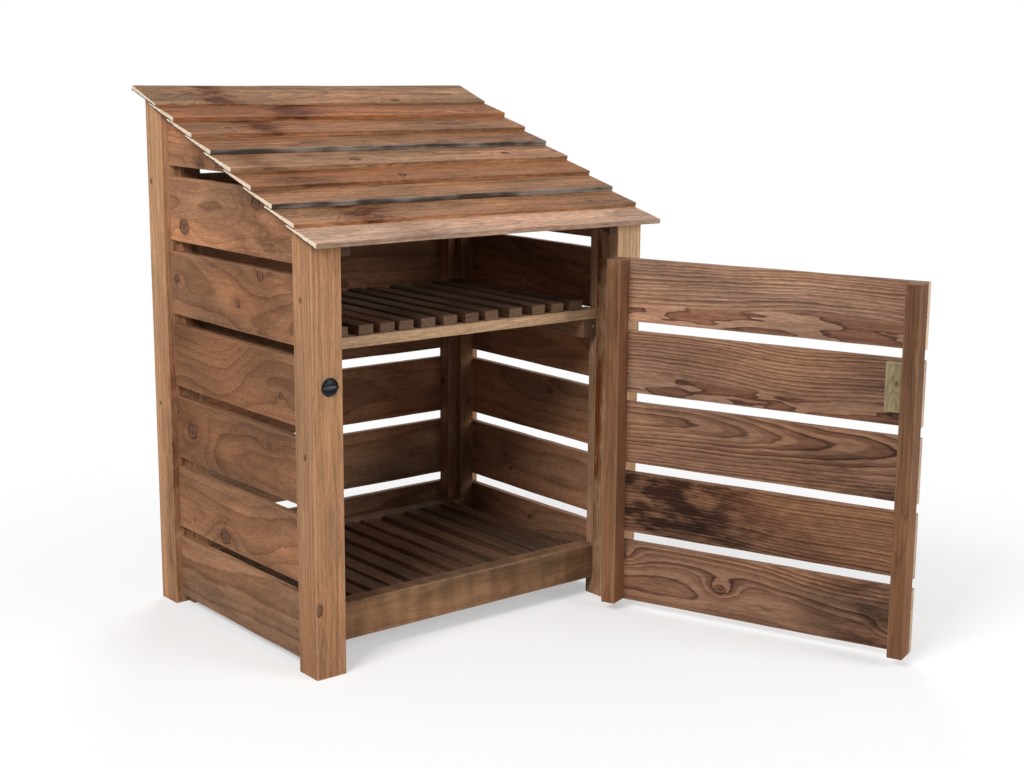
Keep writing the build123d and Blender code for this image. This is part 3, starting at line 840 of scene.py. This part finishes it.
# nail and screw heads, dropped on to a piece from outside; aside keeps the ray clear of a hole
def pinHeads(name, body, material, head, shots):
    bm = bmesh.new()
    trees = {}
    for piece, start, direction, aside in shots:
        if piece.name not in trees:
            mesh = piece.data
            trees[piece.name] = BVHTree.FromPolygons([vert.co for vert in mesh.vertices],
                                                     [face.vertices for face in mesh.polygons])
        spot, normal, face, far = trees[piece.name].ray_cast(start + aside, direction)
        if spot is not None and far < head["throw"]:
            turned(bm, head["profile"], spot - aside, normal, head["steps"])
    closeUp(bm)
    return settle(bm, name, material, body)


nail = {
    "throw": 0.08, "steps": 10,
    "profile": [(0.0021, -0.0006), (0.0021, 0.0001), (0.0016, 0.0005), (0.0, 0.0006)],
}
screw = {
    "throw": 0.08, "steps": 16,
    "profile": [(0.0040, -0.0022), (0.0040, 0.0002), (0.0030, 0.0010), (0.0012, 0.0012), (0.0010, 0.0003),
                (0.0, 0.0002)],
}
straight = Vector((0, 0, 0))

# rows of nails: two to a board at each upright behind it
boarding = {"rows": 7, "pitch": 0.1767, "firstMiddle": 0.0755, "gauge": 0.045, "back": 0.05}


def wallShots(node, fixings, direction):
    low, high = cornersOf(node)
    shots = []
    for row in range(boarding["rows"]):
        for step in (-boarding["gauge"], boarding["gauge"]):
            for fixing in fixings:
                start = middleOf(fixing)
                start.z = low.z + boarding["firstMiddle"] + row * boarding["pitch"] + step
                shots.append((pieces[node], start - direction * boarding["back"], direction, straight))
    return shots


shots = wallShots("left_side_boards", ("front_left_batten", "rear_left_batten"), sideways)
shots += wallShots("right_side_boards", ("front_right_batten", "rear_right_batten"), -sideways)
shots += wallShots("back_boards", ("back_left_batten", "back_right_batten"), -backwards)
roofNails = {"fromEdge": 0.035, "above": 0.02}
for row in roofBoards:
    low, high = cornersOf(f"roof_board_{row}")
    for rafter in ("left_rafter", "right_rafter"):
        start = Vector((middleOf(rafter).x, low.y + roofNails["fromEdge"], high.z + roofNails["above"]))
        shots.append((pieces[f"roof_board_{row}"], start, -upright, straight))
slatting = {
    "count": 12, "above": 0.03,
    "bearers": {"floor_slats": ("front_ledger", "rear_ledger"),
                "shelf_slats": ("shelf_front_rail", "shelf_rear_rail")},
}
for deck, bearers in slatting["bearers"].items():
    low, high = cornersOf(deck)
    width = 2 * pieces[deck].data.attributes["half"].data[0].vector[1]
    for bearer in bearers:
        for i in range(slatting["count"]):
            x = low.x + width / 2 + (high.x - low.x - width) * i / (slatting["count"] - 1)
            start = Vector((x, middleOf(bearer).y, high.z + slatting["above"]))
            shots.append((pieces[deck], start, -upright, straight))
pinHeads("frame-nails", "frame", nailSteel, nail, shots)
print("nails driven:", len(shots))

# door nails from outside into the stiles
doorNails = {"rows": 5, "firstMiddle": 0.0755, "pitch": 0.175, "gauge": 0.045, "out": 0.08}
doorLow = cornersOf("door_boards")[0]
shots = []
for stile in ("door_hinge_stile", "door_latch_stile"):
    for row in range(doorNails["rows"]):
        for step in (-doorNails["gauge"], doorNails["gauge"]):
            start = middleOf(stile) + doorFront * doorNails["out"]
            start.z = doorLow.z + doorNails["firstMiddle"] + row * doorNails["pitch"] + step
            shots.append((pieces["door_boards"], start, -doorFront, straight))
pinHeads("door-nails", "door", nailSteel, nail, shots)

# screws through the hinge leaves, at shares of a leaf's length
hingeScrews = {
    "plate": (0.12, 0.5, 0.88), "strap": (0.2, 0.5, 0.8), "strapLength": 0.240, "leafWidth": 0.042,
    "out": 0.03, "clear": Vector((0, 0, 0.0055)),
}
pivot = Vector(frame["record"]["behaviour"]["joints"][0]["pos_m"])
plateShots = []
strapShots = []
for place in ("lower", "upper"):
    low, high = cornersOf(f"{place}_hinge_plate")
    for share in hingeScrews["plate"]:
        start = Vector((high.x - hingeScrews["leafWidth"] / 2, low.y - hingeScrews["out"],
                        low.z + (high.z - low.z) * share))
        plateShots.append((pieces[f"{place}_hinge_plate"], start, backwards, hingeScrews["clear"]))
    for share in hingeScrews["strap"]:
        start = pivot + doorRun * hingeScrews["strapLength"] * share + doorFront * hingeScrews["out"]
        start.z = middleOf(f"{place}_hinge_strap").z
        strapShots.append((pieces[f"{place}_hinge_strap"], start, -doorFront, hingeScrews["clear"]))
pinHeads("hinge-plate-screws", "frame", iron, screw, plateShots)
pinHeads("hinge-strap-screws", "door", iron, screw, strapShots)

# two screws at the front of the right shelf bearer, one in its side and one in its end
bearerScrews = {"side": (0.022, 0.028), "end": (0.010, 0.026), "out": 0.03}
low, high = cornersOf("right_shelf_bearer")
bearer = pieces["right_shelf_bearer"]
sideY, sideZ = bearerScrews["side"]
endX, endZ = bearerScrews["end"]
shots = [
    (bearer, Vector((low.x - bearerScrews["out"], low.y + sideY, low.z + sideZ)), sideways, straight),
    (bearer, Vector((high.x - endX, low.y - bearerScrews["out"], low.z + endZ)), backwards, straight),
]
pinHeads("bearer-screws", "frame", nailSteel, screw, shots)
print("screws driven")

# studio: a pale floor that fades to white, soft light and the photograph's camera
studio = {
    "floorSize": 30.0, "floorColour": (0.60, 0.60, 0.60), "floorGlow": 0.42, "worldLight": 0.19,
    "whiteFrom": 0.8, "whiteTo": 2.2, "target": (0, 0, 0.6),
}
bm = bmesh.new()
bmesh.ops.create_grid(bm, x_segments=1, y_segments=1, size=studio["floorSize"])
floorMesh = bpy.data.meshes.new("studioFloor")
bm.to_mesh(floorMesh)
bm.free()
floor = bpy.data.objects.new("studioFloor", floorMesh)
scene.collection.objects.link(floor)


def seenDirectly(bench):
    path = bench.node("ShaderNodeLightPath")
    seen = bench.math("MAXIMUM", path.outputs["Is Camera Ray"], path.outputs["Is Glossy Ray"])
    return bench.math("MAXIMUM", seen, path.outputs["Is Transmission Ray"])


b = NodeBench(bpy.data.materials.new("paleFloor"))
seen = seenDirectly(b)
diffuse = b.node("ShaderNodeBsdfDiffuse")
diffuse.inputs["Color"].default_value = (*studio["floorColour"], 1)
glow = b.node("ShaderNodeEmission")
b.plug(glow.inputs["Strength"], b.times(seen, studio["floorGlow"]))
near = b.node("ShaderNodeAddShader")
b.plug(near.inputs[0], diffuse.outputs[0])
b.plug(near.inputs[1], glow.outputs[0])
white = b.node("ShaderNodeEmission")
place = b.vector("MULTIPLY", b.node("ShaderNodeTexCoord").outputs["Object"], (1, 1, 0))
far = b.node("ShaderNodeVectorMath", operation="LENGTH")
b.plug(far.inputs[0], place)
blendFar = b.fade(far.outputs["Value"], studio["whiteFrom"], studio["whiteTo"])
mixer = b.node("ShaderNodeMixShader")
b.plug(mixer.inputs[0], b.times(blendFar, seen))
b.plug(mixer.inputs[1], near.outputs[0])
b.plug(mixer.inputs[2], white.outputs[0])
out = b.node("ShaderNodeOutputMaterial")
b.plug(out.inputs["Surface"], mixer.outputs[0])
floorMesh.materials.append(b.owner)

world = bpy.data.worlds.new("studioWorld")
scene.world = world
b = NodeBench(world)
backdrop = b.node("ShaderNodeBackground")
backdrop.inputs["Color"].default_value = (1, 1, 1, 1)
b.plug(backdrop.inputs["Strength"], b.fade(seenDirectly(b), 0.0, 1.0, studio["worldLight"], 1.0))
out = b.node("ShaderNodeOutputWorld")
b.plug(out.inputs["Surface"], backdrop.outputs[0])

lamps = {
    "keyLamp": {"place": (-4.4, -1.6, 4.2), "size": 2.4, "power": 275.0},
    "fillLamp": {"place": (2.2, -4.8, 2.2), "size": 2.6, "power": 165.0},
    "backLamp": {"place": (3.2, 4.0, 3.4), "size": 3.0, "power": 150.0},
}
for name, lamp in lamps.items():
    light = bpy.data.lights.new(name, "AREA")
    light.energy = lamp["power"]
    light.size = lamp["size"]
    holder = bpy.data.objects.new(name, light)
    holder.location = lamp["place"]
    aim = Vector(studio["target"]) - holder.location
    holder.rotation_euler = aim.to_track_quat("-Z", "Y").to_euler()
    scene.collection.objects.link(holder)

camera = {
    "place": (-2.310507, -2.885708, 1.337721), "yaw": 0.70955567, "pitch": -0.19071483, "roll": 0.01349336,
    "focalPixels": 1617.430, "axisPixel": (570.830, 371.893), "image": (1024, 768), "sensor": 36.0,
}
facing = Vector((math.sin(camera["yaw"]) * math.cos(camera["pitch"]),
                 math.cos(camera["yaw"]) * math.cos(camera["pitch"]), math.sin(camera["pitch"])))
level = Vector((math.cos(camera["yaw"]), -math.sin(camera["yaw"]), 0))
top = level.cross(facing)
right = level * math.cos(camera["roll"]) + top * math.sin(camera["roll"])
above = top * math.cos(camera["roll"]) - level * math.sin(camera["roll"])
imageWidth, imageHeight = camera["image"]
axisX, axisY = camera["axisPixel"]
lens = bpy.data.cameras.new("photoCamera")
lens.sensor_fit = "HORIZONTAL"
lens.sensor_width = camera["sensor"]
lens.lens = camera["focalPixels"] * camera["sensor"] / imageWidth
lens.shift_x = (imageWidth / 2 - axisX) / imageWidth
lens.shift_y = (axisY - imageHeight / 2) / imageWidth
eye = bpy.data.objects.new("photoCamera", lens)
turn = Matrix((right, above, -facing)).transposed().to_4x4()
eye.matrix_world = Matrix.Translation(Vector(camera["place"])) @ turn
scene.collection.objects.link(eye)
scene.camera = eye
scene.view_settings.view_transform = "Standard"
print("studio set")
